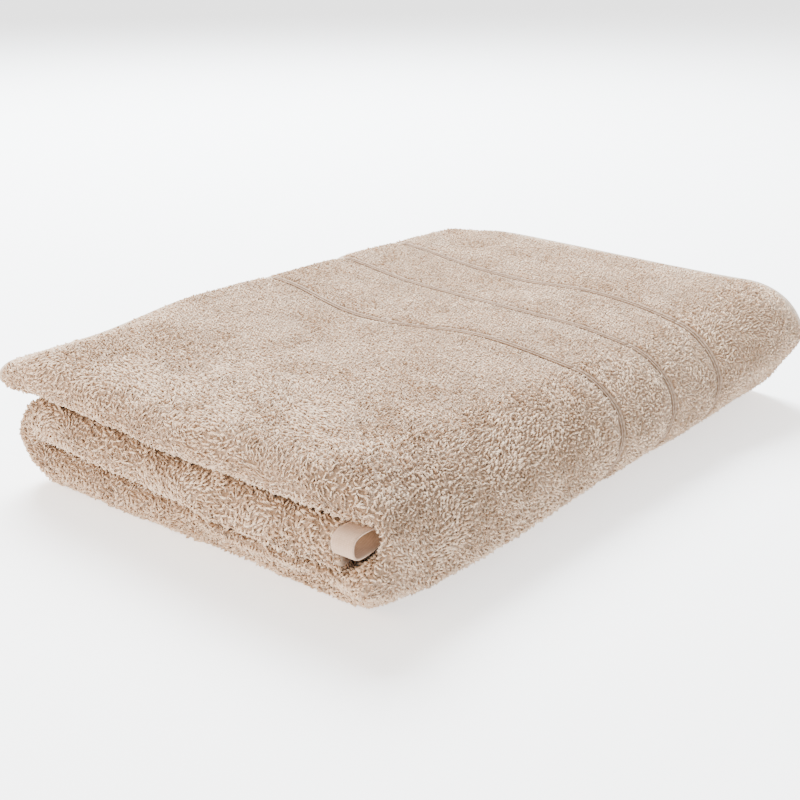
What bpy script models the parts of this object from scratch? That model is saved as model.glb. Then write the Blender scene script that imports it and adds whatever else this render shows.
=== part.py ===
"""A folded terry bath towel: 68 by 140 cm of cloth, folded in half twice along its length and then
in thirds across its width. It stands on its underside, with +X towards the closed right fold,
-Y towards the front edge where the layers show, and +Z up. Units are metres."""

import math

import bmesh
import bpy
from mathutils import Matrix, Vector

# The cloth, laid flat
TOWEL_WIDTH = 0.680
TOWEL_LENGTH = 1.400
PLY = 0.0054  # one thickness of cloth with its pile pressed down
PLY_GAP = 0.0003

# The folds
PLIES = 4  # layers of cloth in each panel, once it is folded in half twice along its length
CREASE_GAP = 0.0012  # between the bottom and the middle panel, so that the left fold can turn
REST_GAP = 0.0003  # between the middle panel and the flap that lies on it
SEAM_GAP = 0.0003  # between two pieces that meet end to end
FLAP_OVERHANG = 0.007  # how far the flap's free edge passes the left fold
EDGE_PAST_FOLD = 0.002  # how far the inner edge passes the middle of the right fold

# Hems and borders
END_HEM = 0.016
SIDE_HEM = 0.009
HEM_THICKNESS = 0.0034
BORDER_FROM_END = 0.076
BORDER_SPACING = 0.0485
BORDER_LINES = 3
CORD_DIAMETER = 0.0016
CORD_CLEARANCE = 0.0003
CORD_DEPTH = 0.0001  # how far the top of a cord lies below the face of the cloth

# The hanging loop
TAPE_WIDTH = 0.011
TAPE_THICKNESS = 0.0012
TAPE_SPACING = 0.0003  # between the two ends of the tape, where they leave the crease
TAPE_CLEARANCE = 0.0003
TAPE_FROM_EDGE = 0.001  # from the inner edge of the cloth to the tape
LOOP_OFF_LIP = 0.0006
LOOP_EYE = 0.0058
LOOP_HANG = math.radians(165)  # where the inner end of the tape turns, round the middle panel's lip
LOOP_OPENING = math.radians(35)  # the turn over which the two ends of the tape part

# Facets
QUARTER_STEPS = 6
LEFT_STEPS = 10
LIP_STEPS = 10
SMALL_LIP_STEPS = 6
TAPE_STEPS = 7

# What follows from them
PITCH = PLY + PLY_GAP
PANEL = PLIES * PLY + (PLIES - 1) * PLY_GAP
HEIGHT = 3 * PANEL + CREASE_GAP + REST_GAP
LIP = PANEL / 2  # the radius of each panel's front lip
BACK_LIP = (PITCH + PLY) / 2
OUTER_TURN = (PLIES - 1) * PITCH / 2  # to the middle of the outermost ply, where it turns round the rest
INNER_TURN = PITCH / 2  # to the middle of a ply that turns straight onto the next
TURNS = math.pi * (OUTER_TURN + 2 * INNER_TURN)
LENGTH = (TOWEL_LENGTH + PLIES * LIP + 2 * BACK_LIP - TURNS) / PLIES

RIGHT_OUTER = HEIGHT / 2
RIGHT_INNER = RIGHT_OUTER - PANEL
LEFT_INNER = CREASE_GAP / 2
LEFT_OUTER = LEFT_INNER + PANEL
FOLD_CLOTH = math.pi * (RIGHT_INNER + LEFT_INNER + PANEL)
SPAN = (TOWEL_WIDTH - FOLD_CLOTH - LEFT_OUTER - FLAP_OVERHANG - EDGE_PAST_FOLD) / 3
WIDTH = FLAP_OVERHANG + LEFT_OUTER + SPAN + RIGHT_OUTER

FREE_EDGE_X = -WIDTH / 2
LEFT_X = FREE_EDGE_X + FLAP_OVERHANG + LEFT_OUTER
RIGHT_X = LEFT_X + SPAN
INNER_EDGE_X = RIGHT_X + EDGE_PAST_FOLD
LEFT_Z = PANEL + LEFT_INNER
RIGHT_Z = HEIGHT / 2
MIDDLE_Z = PANEL + CREASE_GAP
TOP_Z = MIDDLE_Z + PANEL + REST_GAP
SEAM_TURN = SEAM_GAP / 2 / RIGHT_INNER
QUARTER = math.pi / 2 - SEAM_TURN

# The tape leaves the crease where the two lips are far enough apart for both of its ends
TAPE_PITCH = TAPE_THICKNESS + TAPE_SPACING
ROOT_ROOM = TAPE_PITCH / 2 + TAPE_THICKNESS / 2 + TAPE_CLEARANCE
ROOT_IN = LIP - math.sqrt(LIP**2 - (LIP + REST_GAP / 2 - ROOT_ROOM) ** 2)
ROOT_Z = TOP_Z - REST_GAP / 2
LIP_Z = MIDDLE_Z + LIP
LOOP_RADIUS = LIP + LOOP_OFF_LIP + TAPE_THICKNESS / 2
LOOP_WIDTH = LOOP_EYE + TAPE_THICKNESS


def smooth(share):
    """0 to 1, level at both ends."""
    share = min(max(share, 0.0), 1.0)
    return share * share * (3 - 2 * share)


def polar(centre, radius, angle):
    """The point at an angle and a distance from a centre, in a plane."""
    return (centre[0] + radius * math.cos(angle), centre[1] + radius * math.sin(angle))


def arc(centre, radius, start, end, steps):
    """Points on an arc in a plane, with both ends."""
    return [polar(centre, radius, start + (end - start) * i / steps) for i in range(steps + 1)]


def loop_path():
    """The middle of the tape from the side, as (distance behind the front of the lips, height).

    It comes out of the crease, hangs in front of the middle panel's lip, turns, and goes back in."""
    lip = (LIP, LIP_Z)
    root_low = (ROOT_IN, ROOT_Z - TAPE_PITCH / 2)
    root_high = (ROOT_IN, ROOT_Z + TAPE_PITCH / 2)
    start = math.atan2(root_high[1] - lip[1], root_high[0] - lip[0])
    root_radius = math.dist(root_high, lip)
    outer = []
    for i in range(TAPE_STEPS + 1):
        angle = start + (LOOP_HANG - start) * i / TAPE_STEPS
        wide = LOOP_RADIUS + LOOP_WIDTH
        parted = smooth((angle - start) / LOOP_OPENING)
        outer.append(polar(lip, root_radius + (wide - root_radius) * parted, angle))
    turn = polar(lip, LOOP_RADIUS + LOOP_WIDTH / 2, LOOP_HANG)
    bight = arc(turn, LOOP_WIDTH / 2, LOOP_HANG, LOOP_HANG + math.pi, TAPE_STEPS)
    low_angle = math.atan2(root_low[1] - lip[1], root_low[0] - lip[0])
    inner = arc(lip, LOOP_RADIUS, LOOP_HANG, low_angle, TAPE_STEPS)
    return outer + bight[1:-1] + inner[:-1] + [root_low]


LOOP_PATH = loop_path()
LOOP_OUT = TAPE_THICKNESS / 2 - min(y for y, z in LOOP_PATH)
FRONT_Y = (LOOP_OUT - LENGTH) / 2
BACK_Y = FRONT_Y + LENGTH
LIP_Y = FRONT_Y + LIP
BACK_LIP_Y = BACK_Y - BACK_LIP
HEM_Y = BACK_Y - END_HEM

FLAP_AXIS = (RIGHT_X + RIGHT_OUTER + SEAM_GAP, 0.0, RIGHT_Z)
TAPE_X = INNER_EDGE_X - TAPE_FROM_EDGE - TAPE_WIDTH / 2
LOOP_AXIS = (TAPE_X, FRONT_Y + ROOT_IN, ROOT_Z)

BORDERS_Y = [BACK_Y - BORDER_FROM_END - BORDER_SPACING * i for i in range(BORDER_LINES)]
GROOVE_WIDTH = CORD_DIAMETER + 2 * CORD_CLEARANCE
GROOVE_DEPTH = CORD_DEPTH + CORD_DIAMETER + CORD_CLEARANCE


def clear_scene():
    for obj in list(bpy.data.objects):
        bpy.data.objects.remove(obj)


def new_collection(name):
    collection = bpy.data.collections.new(name)
    bpy.context.scene.collection.children.link(collection)
    return collection


def new_material(name, colour, roughness):
    material = bpy.data.materials.new(name)
    material.use_nodes = True
    shader = material.node_tree.nodes["Principled BSDF"]
    shader.inputs["Base Color"].default_value = (*colour, 1.0)
    shader.inputs["Roughness"].default_value = roughness
    shader.inputs["Metallic"].default_value = 0.0
    return material


def add_object(name, data, material, origin):
    """Puts a mesh or curve that was drawn in the towel's frame into the scene, with its own origin."""
    obj = bpy.data.objects.new(name, data)
    data.materials.append(material)
    data.transform(Matrix.Translation(-Vector(origin)))
    obj.location = origin
    TOWEL.objects.link(obj)
    return obj


def ply_n(ply, side, thickness):
    """The height of a ply's face in the folded strip: ply 0 to 3, side -1 inner or 1 outer."""
    return PLY / 2 + ply * PITCH + side * thickness / 2


def grooved(height):
    """A face of a ply from the back to the front, with a groove for each border cord."""
    points = []
    for y in BORDERS_Y:
        near, far = y - GROOVE_WIDTH / 2, y + GROOVE_WIDTH / 2
        deep = height - GROOVE_DEPTH
        points += [(far, height), (far, deep), (near, deep), (near, height)]
    return points


def strip_outline(thickness, grooves):
    """The towel folded twice along its length, from the side: four plies as one winding outline.

    The plies lie at heights 0 to 3 PITCH. Ply 3 turns over the front into ply 0, ply 0 turns up at
    the back into ply 1, and ply 1 turns up inside the front into ply 2. Plies 3 and 2 end at the
    back, where the end hems go on."""
    end = HEM_Y - SEAM_GAP
    back_n = PITCH / 2 + PLY / 2
    half = math.pi / 2
    out, back = thickness / 2, -thickness / 2
    top = ply_n(3, 1, thickness)
    second = ply_n(2, 1, thickness)
    outline = [(end, top)]
    outline += grooved(top) if grooves else []
    outline += arc((LIP_Y, LIP), OUTER_TURN + out, half, 3 * half, LIP_STEPS)
    outline += arc((BACK_LIP_Y, back_n), INNER_TURN + out, -half, half, SMALL_LIP_STEPS)
    outline += [(LIP_Y, ply_n(1, 1, thickness)), (LIP_Y, ply_n(2, -1, thickness))]
    outline += [(end, ply_n(2, -1, thickness)), (end, second)]
    outline += grooved(second) if grooves else []
    outline += arc((LIP_Y, LIP), INNER_TURN + out, half, 3 * half, SMALL_LIP_STEPS)
    outline += [(BACK_LIP_Y, ply_n(1, -1, thickness)), (BACK_LIP_Y, ply_n(0, 1, thickness))]
    outline += arc((LIP_Y, LIP), OUTER_TURN + back, 3 * half, half, LIP_STEPS)
    outline += [(end, ply_n(3, -1, thickness))]
    return outline


def hem_outline(ply):
    """The flat hem at the end of a ply, from the side."""
    low, high = ply_n(ply, -1, HEM_THICKNESS), ply_n(ply, 1, HEM_THICKNESS)
    return [(HEM_Y, low), (BACK_Y, low), (BACK_Y, high), (HEM_Y, high)]


# Each stretch of cloth across the towel's width starts where the last one stopped
def top_run(x, n):
    return (x, TOP_Z + n)


def bottom_run(x, n):
    return (x, PANEL - n)


def middle_run(x, n):
    return (x, MIDDLE_Z + n)


def right_turn(angle, n):
    radius = RIGHT_INNER + n
    return (RIGHT_X + radius * math.cos(angle), RIGHT_Z + radius * math.sin(angle))


def sweep(name, outline, start, moves, material, origin):
    """Carries an outline across the cloth's width. start(n) gives (x, z); a move is a length along X,
    or a fold as (x, z, angle, steps)."""
    bm = bmesh.new()
    face = bm.faces.new([bm.verts.new((start(n)[0], y, start(n)[1])) for y, n in outline])
    for move in moves:
        end = [face, *face.edges, *face.verts]
        if isinstance(move, tuple):
            x, z, angle, steps = move
            made = bmesh.ops.spin(
                bm,
                geom=end,
                cent=(x, 0, z),
                axis=(0, 1, 0),
                angle=angle,
                steps=steps,
                use_merge=False,
                use_duplicate=False,
            )["geom_last"]
        else:
            made = bmesh.ops.extrude_face_region(bm, geom=end)["geom"]
            moved = [g for g in made if isinstance(g, bmesh.types.BMVert)]
            bmesh.ops.translate(bm, verts=moved, vec=(move, 0, 0))
        face = next(g for g in made if isinstance(g, bmesh.types.BMFace))
    bmesh.ops.recalc_face_normals(bm, faces=bm.faces)
    mesh = bpy.data.meshes.new(name)
    bm.to_mesh(mesh)
    bm.free()
    return add_object(name, mesh, material, origin)


def cord(name, points, material, origin):
    """A round cord through (x, y, z) points, closed at both ends."""
    curve = bpy.data.curves.new(name, "CURVE")
    curve.dimensions = "3D"
    curve.bevel_depth = CORD_DIAMETER / 2
    curve.bevel_resolution = 2
    curve.use_fill_caps = True
    spline = curve.splines.new("POLY")
    spline.points.add(len(points) - 1)
    for point, place in zip(spline.points, points, strict=True):
        point.co = (*place, 1.0)
    return add_object(name, curve, material, origin)


def make_cloth(material):
    """The six stretches of the folded cloth, three panels and the folds between them."""
    cloth = strip_outline(PLY, True)
    run = SPAN - 2 * SEAM_GAP
    flap_run = RIGHT_X - SEAM_GAP - (FREE_EDGE_X + SIDE_HEM + SEAM_GAP)
    middle_run_length = INNER_EDGE_X - SIDE_HEM - SEAM_GAP - (LEFT_X + SEAM_GAP)
    left_start = LEFT_X + SEAM_GAP
    flap_start = FREE_EDGE_X + SIDE_HEM + SEAM_GAP
    left_turn = (LEFT_X, LEFT_Z, math.pi, LEFT_STEPS)
    quarter = (RIGHT_X, RIGHT_Z, -QUARTER, QUARTER_STEPS)
    world = (0.0, 0.0, 0.0)

    def at(run_of, x):
        return lambda n: run_of(x, n)

    sweep("bottom_panel", cloth, at(bottom_run, left_start), [run], material, world)
    sweep("left_fold", cloth, at(bottom_run, LEFT_X), [left_turn], material, world)
    sweep(
        "middle_panel", cloth, at(middle_run, left_start), [middle_run_length], material, world
    )
    sweep("right_fold_lower", cloth, at(bottom_run, RIGHT_X), [quarter], material, world)
    sweep(
        "right_fold_upper",
        cloth,
        at(right_turn, SEAM_TURN),
        [quarter],
        material,
        FLAP_AXIS,
    )
    sweep("top_panel", cloth, at(top_run, flap_start), [flap_run], material, FLAP_AXIS)


def make_side_hems(material):
    """The thin sewn edges along the cloth's two long sides."""
    hem = strip_outline(HEM_THICKNESS, False)
    sweep(
        "flap_side_hem",
        hem,
        lambda n: top_run(FREE_EDGE_X, n),
        [SIDE_HEM],
        material,
        FLAP_AXIS,
    )
    sweep(
        "inner_side_hem",
        hem,
        lambda n: middle_run(INNER_EDGE_X - SIDE_HEM, n),
        [SIDE_HEM],
        material,
        (0.0, 0.0, 0.0),
    )


def make_end_hems(material):
    """The hems at the towel's two ends, each in two lengths that part where the flap opens."""
    for label, ply in (("outer", 3), ("inner", 2)):
        hem = hem_outline(ply)
        flap_moves = [
            (RIGHT_X, RIGHT_Z, -QUARTER, QUARTER_STEPS),
            FREE_EDGE_X - RIGHT_X,
        ]
        stack_moves = [
            LEFT_X - RIGHT_X,
            (LEFT_X, LEFT_Z, math.pi, LEFT_STEPS),
            INNER_EDGE_X - LEFT_X,
        ]
        sweep(
            f"{label}_end_hem_flap",
            hem,
            lambda n: right_turn(SEAM_TURN, n),
            flap_moves,
            material,
            FLAP_AXIS,
        )
        sweep(
            f"{label}_end_hem_stack",
            hem,
            lambda n: right_turn(-SEAM_TURN, n),
            [(RIGHT_X, RIGHT_Z, QUARTER, QUARTER_STEPS), *stack_moves],
            material,
            (0.0, 0.0, 0.0),
        )


def make_borders(material):
    """Three corded lines near each end of the towel, each cord in its groove."""
    flap_end_x = FREE_EDGE_X + SIDE_HEM + SEAM_GAP
    inner_end_x = INNER_EDGE_X - SIDE_HEM - SEAM_GAP
    for label, ply in (("outer", 3), ("inner", 2)):
        n = ply_n(ply, 1, PLY) - CORD_DEPTH - CORD_DIAMETER / 2
        upper = arc(
            (RIGHT_X, RIGHT_Z), RIGHT_INNER + n, math.pi / 2, SEAM_TURN, QUARTER_STEPS
        )
        lower = arc(
            (RIGHT_X, RIGHT_Z), RIGHT_INNER + n, -SEAM_TURN, -math.pi / 2, QUARTER_STEPS
        )
        left = arc(
            (LEFT_X, LEFT_Z), LEFT_INNER + n, 3 * math.pi / 2, math.pi / 2, LEFT_STEPS
        )
        flap = [top_run(flap_end_x, n), *upper]
        stack = [*lower, *left, middle_run(inner_end_x, n)]
        for i, y in enumerate(BORDERS_Y):
            name = f"{label}_border_cord_{i + 1}"
            cord(f"{name}_flap", [(x, y, z) for x, z in flap], material, FLAP_AXIS)
            cord(f"{name}_stack", [(x, y, z) for x, z in stack], material, (0.0, 0.0, 0.0))


def make_loop(material):
    """The hanging loop: one length of tape, doubled, with both ends in the upper crease."""
    bm = bmesh.new()
    left = TAPE_X - TAPE_WIDTH / 2
    line = [bm.verts.new((left, FRONT_Y + y, z)) for y, z in LOOP_PATH]
    edges = [bm.edges.new(pair) for pair in zip(line[:-1], line[1:], strict=True)]
    made = bmesh.ops.extrude_edge_only(bm, edges=edges)["geom"]
    moved = [g for g in made if isinstance(g, bmesh.types.BMVert)]
    bmesh.ops.translate(bm, verts=moved, vec=(TAPE_WIDTH, 0, 0))
    bmesh.ops.recalc_face_normals(bm, faces=bm.faces)
    mesh = bpy.data.meshes.new("hanging_loop")
    bm.to_mesh(mesh)
    bm.free()
    loop = add_object("hanging_loop", mesh, material, LOOP_AXIS)
    thicken = loop.modifiers.new("tape", "SOLIDIFY")
    thicken.thickness = TAPE_THICKNESS
    thicken.offset = 0
    thicken.use_even_offset = True


clear_scene()
TOWEL = new_collection("bath_towel")
terry = new_material("terry", (0.60, 0.47, 0.36), 0.95)
hem_cloth = new_material("hem_cloth", (0.56, 0.43, 0.33), 0.85)
border_cord = new_material("border_cord", (0.52, 0.40, 0.30), 0.75)
loop_tape = new_material("loop_tape", (0.55, 0.43, 0.33), 0.70)

make_cloth(terry)
make_side_hems(hem_cloth)
make_end_hems(hem_cloth)
make_borders(border_cord)
make_loop(loop_tape)
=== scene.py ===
# %% [markdown]
# # A folded terry bath towel
#
# This notebook dresses a finished, rigid model of a folded towel in real-looking cloth. The rigid model,
# called the frame here, already has the right size, the folds and the moving parts: a flap that opens on
# the right fold, and a little hanging loop. Blender only adds the looks, so everything below takes its
# places from the frame and never moves it.

import math

import bmesh
import bpy
import numpy as np
from mathutils import Matrix, Vector, noise


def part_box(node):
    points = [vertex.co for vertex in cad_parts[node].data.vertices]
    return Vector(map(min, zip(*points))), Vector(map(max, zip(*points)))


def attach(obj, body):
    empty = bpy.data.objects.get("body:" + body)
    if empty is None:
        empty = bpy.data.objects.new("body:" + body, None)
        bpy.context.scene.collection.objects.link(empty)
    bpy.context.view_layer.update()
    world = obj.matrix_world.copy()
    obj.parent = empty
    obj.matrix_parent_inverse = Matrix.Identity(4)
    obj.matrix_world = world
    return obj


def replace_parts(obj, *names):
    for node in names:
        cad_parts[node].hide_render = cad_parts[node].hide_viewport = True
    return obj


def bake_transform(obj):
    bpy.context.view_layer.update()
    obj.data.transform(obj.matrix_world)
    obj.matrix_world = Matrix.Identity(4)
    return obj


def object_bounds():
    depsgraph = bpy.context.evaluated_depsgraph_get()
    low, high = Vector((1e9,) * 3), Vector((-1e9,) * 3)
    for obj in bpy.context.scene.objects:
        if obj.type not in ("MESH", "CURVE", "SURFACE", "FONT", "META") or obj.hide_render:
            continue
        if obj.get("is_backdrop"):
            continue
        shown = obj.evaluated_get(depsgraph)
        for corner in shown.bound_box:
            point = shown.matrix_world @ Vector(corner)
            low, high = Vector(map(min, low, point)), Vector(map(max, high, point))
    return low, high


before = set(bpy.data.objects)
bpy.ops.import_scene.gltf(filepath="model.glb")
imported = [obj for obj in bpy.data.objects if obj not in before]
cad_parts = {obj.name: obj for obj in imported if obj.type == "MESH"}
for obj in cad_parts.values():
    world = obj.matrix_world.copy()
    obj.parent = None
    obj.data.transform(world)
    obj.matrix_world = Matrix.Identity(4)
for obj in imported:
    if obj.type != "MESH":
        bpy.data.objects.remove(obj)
FRAME_LOW, FRAME_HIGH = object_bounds()

# %% [markdown]
# ## Measuring the frame
#
# The towel is one long rectangle. It was folded in half twice along its length, which gives a strip four
# plies thick, and the strip was then folded in thirds. All the lengths we need to repeat those folds can
# be read off the boxes round the frame's solids.

# %% Measure the folds
MM = 0.001


def low(node):
    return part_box(node)[0]


def high(node):
    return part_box(node)[1]


PANEL = high("bottom_panel").z - low("bottom_panel").z
PITCH = high("outer_end_hem_flap").z - high("inner_end_hem_flap").z
PLY = PANEL - 3 * PITCH
LIP = PANEL / 2
HEIGHT = high("top_panel").z
MIDDLE_Z = low("middle_panel").z
TOP_Z = low("top_panel").z
FRONT_Y = low("top_panel").y
BACK_Y = high("outer_end_hem_flap").y
LIP_Y = FRONT_Y + LIP
BACK_LIP_Y = BACK_Y - (PITCH + PLY) / 2
FREE_EDGE_X = low("flap_side_hem").x
INNER_EDGE_X = high("inner_side_hem").x
LEFT_X = high("left_fold").x
LEFT_Z = (low("left_fold").z + high("left_fold").z) / 2
LEFT_INNER = LEFT_X - low("left_fold").x - PANEL
RIGHT_X = low("right_fold_lower").x
RIGHT_Z = HEIGHT / 2
RIGHT_INNER = RIGHT_Z - PANEL
END_HEM = BACK_Y - low("outer_end_hem_flap").y
SIDE_HEM = high("flap_side_hem").x - FREE_EDGE_X
print(f"strip {PANEL / MM:.1f} mm thick, plies {PLY / MM:.1f} mm, towel {HEIGHT / MM:.1f} mm high")

# %% [markdown]
# ## From flat cloth to folded cloth
#
# A simulation could fold the cloth, but 25 layers of contact would take an hour and crumple the edges.
# Terry cloth folded by hand lies in clean bends, so a formula does it. A point of the cloth is
# (s, t, h): s across the towel's width, t along its length, and h above or below the middle of the cloth.
# `strip` folds t, `turn` folds s, and `settle`, further on, adds the unevenness of a real towel.

# %% Fold along the length
HALF = math.pi / 2
OUTER_TURN = 1.5 * PITCH
INNER_TURN = PITCH / 2
PLY_N = [PLY / 2 + PITCH * i for i in range(4)]
RUN_T = BACK_Y - LIP_Y
SHORT_RUN_T = BACK_LIP_Y - LIP_Y
FRONT_TURN_T = RUN_T + math.pi * OUTER_TURN
BACK_TURN_T = FRONT_TURN_T + SHORT_RUN_T
INNER_RUN_T = BACK_TURN_T + math.pi * INNER_TURN
INNER_TURN_T = INNER_RUN_T + SHORT_RUN_T
LAST_RUN_T = INNER_TURN_T + math.pi * INNER_TURN
LENGTH_T = LAST_RUN_T + RUN_T


def around(centre, radius, angle, h, inward=False):
    """A point on a bend, and h further out, or further in where the cloth's face looks inward."""
    reach = radius - h if inward else radius + h
    return centre[0] + reach * math.cos(angle), centre[1] + reach * math.sin(angle)


def strip(t, h):
    """(y, n) of a point of the cloth once it is folded in half twice; n is its height in the strip."""
    if t < RUN_T:
        return BACK_Y - t, PLY_N[3] + h
    if t < FRONT_TURN_T:
        return around((LIP_Y, LIP), OUTER_TURN, HALF + (t - RUN_T) / OUTER_TURN, h)
    if t < BACK_TURN_T:
        return LIP_Y + t - FRONT_TURN_T, PLY_N[0] - h
    if t < INNER_RUN_T:
        centre = (BACK_LIP_Y, PLY_N[0] + INNER_TURN)
        return around(centre, INNER_TURN, -HALF + (t - BACK_TURN_T) / INNER_TURN, h)
    if t < INNER_TURN_T:
        return BACK_LIP_Y - (t - INNER_RUN_T), PLY_N[1] + h
    if t < LAST_RUN_T:
        angle = -HALF - (t - INNER_TURN_T) / INNER_TURN
        return around((LIP_Y, LIP), INNER_TURN, angle, h, inward=True)
    return LIP_Y + t - LAST_RUN_T, PLY_N[2] - h


print(f"the folded strip uses {LENGTH_T:.4f} m of cloth")

# %% [markdown]
# The strip is then folded in thirds, like a letter. The right fold goes round three plies of towel and
# the left fold round one, so their radii differ; both are measured at the middle of the strip.

# %% Fold across the width
RIGHT_MIDDLE = RIGHT_INNER + LIP
LEFT_MIDDLE = LEFT_INNER + LIP
FLAP_S = RIGHT_X - FREE_EDGE_X
RIGHT_FOLD_S = FLAP_S + math.pi * RIGHT_MIDDLE
BOTTOM_S = RIGHT_FOLD_S + RIGHT_X - LEFT_X
LEFT_FOLD_S = BOTTOM_S + math.pi * LEFT_MIDDLE
WIDTH_S = LEFT_FOLD_S + INNER_EDGE_X - LEFT_X


def turn(s, n):
    """(x, z): where a point of the strip lies once the strip is folded in thirds."""
    if s < FLAP_S:
        return FREE_EDGE_X + s, TOP_Z + n
    if s < RIGHT_FOLD_S:
        angle = HALF - (s - FLAP_S) / RIGHT_MIDDLE
        return around((RIGHT_X, RIGHT_Z), RIGHT_INNER, angle, n)
    if s < BOTTOM_S:
        return RIGHT_X - (s - RIGHT_FOLD_S), PANEL - n
    if s < LEFT_FOLD_S:
        angle = -HALF - (s - BOTTOM_S) / LEFT_MIDDLE
        return around((LEFT_X, LEFT_Z), LEFT_INNER, angle, n)
    return LEFT_X + s - LEFT_FOLD_S, MIDDLE_Z + n


print(f"and {WIDTH_S:.4f} m across")

# %% [markdown]
# ## Unevenness
#
# Nothing about a folded towel is straight. It is fullest along the free edge of the flap, sinks in the
# middle and slouches over the right fold. The near lip of the bottom strip draws back, and the free
# corners of the flap are pressed thin. These moves depend only on where a point is, so that cloth, hems
# and cords that touch stay together. The cloth of the top has also been pulled askew while folding, so
# the corded lines wander: that is a slide within the cloth, by `drift`.

# %% Helpers for smooth moves
def ease(share):
    """0 to 1, level at both ends."""
    share = min(max(share, 0.0), 1.0)
    return share * share * (3 - 2 * share)


def over(place_at, start, end):
    """0 at start and 1 at end, with a smooth step between. start and end are in millimetres."""
    return ease((place_at - start * MM) / ((end - start) * MM))


def from_table(table, value):
    """A run through a table of (place, amount), both in millimetres; the amount comes in metres."""
    value /= MM
    if value <= table[0][0]:
        return table[0][1] * MM
    for (a, first), (b, second) in zip(table[:-1], table[1:]):
        if value < b:
            return (first + (second - first) * (value - a) / (b - a)) * MM
    return table[-1][1] * MM


def smooth_table(table, value, reach=8 * MM):
    """The same run with its corners rounded off over that reach."""
    return sum(from_table(table, value + reach * k) for k in (-1, -0.5, 0, 0.5, 1)) / 5


def uneven(x, y, z, bumps):
    """Smooth noise. Each bump is (size in metres, seed, height in millimetres)."""
    point = Vector((x, y, z))
    heights = (
        height * noise.noise(point / size + Vector((seed, seed * 0.7, -seed))) for size, seed, height in bumps
    )
    return sum(heights) * MM


print(f"halfway up, a smooth step has reached {ease(0.5):.2f}; a quarter of the way, {ease(0.25):.2f}")

# %% [markdown]
# The amounts below are in millimetres. A table gives (place, amount) pairs: how far the top sinks across
# the towel, how far each lip draws back, and so on. A pair such as `FOOT` is a zone: a move has no effect
# at its first place and its full effect at the second.

# %% Measures of the settling
SLUMP_ACROSS = (
    (-122, -2.0), (-96, -0.3), (-72, 2.6), (-45, 5.0), (-15, 5.6),
    (30, 4.8), (57, 6.4), (81, 9.5), (104, 13.0),
)  # fmt: skip
SLUMP_ALONG = ((-172, 0.3), (-105, 0.95), (-60, 1.0), (95, 1.0), (150, 0.3), (172, 0.0))
LIP_RETREAT = ((-95, 0.0), (20, 1.0), (60, 4.0), (100, 8.5))
FOOT_RETREAT = ((-95, 4.5), (-32, 8.0), (18, 12.0), (68, 10.0), (101, 6.5))
FOOT_BULGE = ((-150, 3.0), (-135, 7.5), (-62, 7.0), (-23, 4.0), (15, 2.0), (175, 1.0))
NEAR_END, FAR_END = (125, 55), (28, 0)
CORNER, EDGE = (34, 0), (11, 0)
FRONT, FOOT, SLUMP_RISE = (60, 0), (30, 4), (6, 64)
CREASE_RUN, BULGE_RUN = (2, 34), (0, 12)
BACK_RUN, BACK_RISE = (-20, -4), (0, 45)
SWELL_ALONG, SWELL_ACROSS, SWELL_RISE = (85, 160), (75, 115), (18, 44)
EYE_ALONG, EYE_LEFT, EYE_RIGHT, EYE_FOOT, EYE_CROWN = (55, 0), (35, 90), (123, 100), (8, 24), (66, 50)
FAR_CORNER_SHARE = 0.55
CORNER_THINNING = 0.36
CORNER_SINK_SHARE = 0.6
CORNER_DROOP = 3.5 * MM
EDGE_ROUNDING = 0.3
BACK_DROOP = 2.0 * MM
FAR_SWELL = 6.0 * MM
FAR_TUCK = 0.6
EYE_SHIFT = 11 * MM
CREASE_FILL = 7.5 * MM
CREASE_WIDTH = 6 * MM
PIT_DEPTH = 14 * MM
PIT_X = 104 * MM
PIT_Z = 40 * MM
PIT_RADIUS = 9 * MM
PIT_ALONG = (40, 0)
BUMPS_IN_Y = ((0.055, 3.1, 1.7), (0.022, 7.7, 0.7))
BUMPS_IN_Z = ((0.075, 1.3, 1.3), (0.03, 5.2, 0.45))
BUMPS_IN_X = ((0.06, 9.4, 1.0),)
print(f"the top sinks by up to {max(amount for _, amount in SLUMP_ACROSS)} mm")


# %% Settle the folded towel
def pit(x, y, z):
    """How far the cloth round the eye of the right fold draws in from the front."""
    away = ((x - PIT_X) ** 2 + (z - PIT_Z) ** 2) / PIT_RADIUS**2
    return PIT_DEPTH * math.exp(-away) * over(y - FRONT_Y, *PIT_ALONG)


def thin_edge(x, y, z):
    """The new height of a point of the flap, which is pressed thin at its corners and along its edge."""
    ends = max(over(y - FRONT_Y, *NEAR_END), FAR_CORNER_SHARE * over(BACK_Y - y, *FAR_END))
    corner = ends * over(x - FREE_EDGE_X, *CORNER)
    rounding = EDGE_ROUNDING * over(x - FREE_EDGE_X, *EDGE) * (1 - corner)
    level = TOP_Z + LIP
    z = level + (z - level) * (1 - CORNER_THINNING * corner) * (1 - rounding)
    return z - (LIP * CORNER_THINNING * CORNER_SINK_SHARE + CORNER_DROOP) * corner


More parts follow.
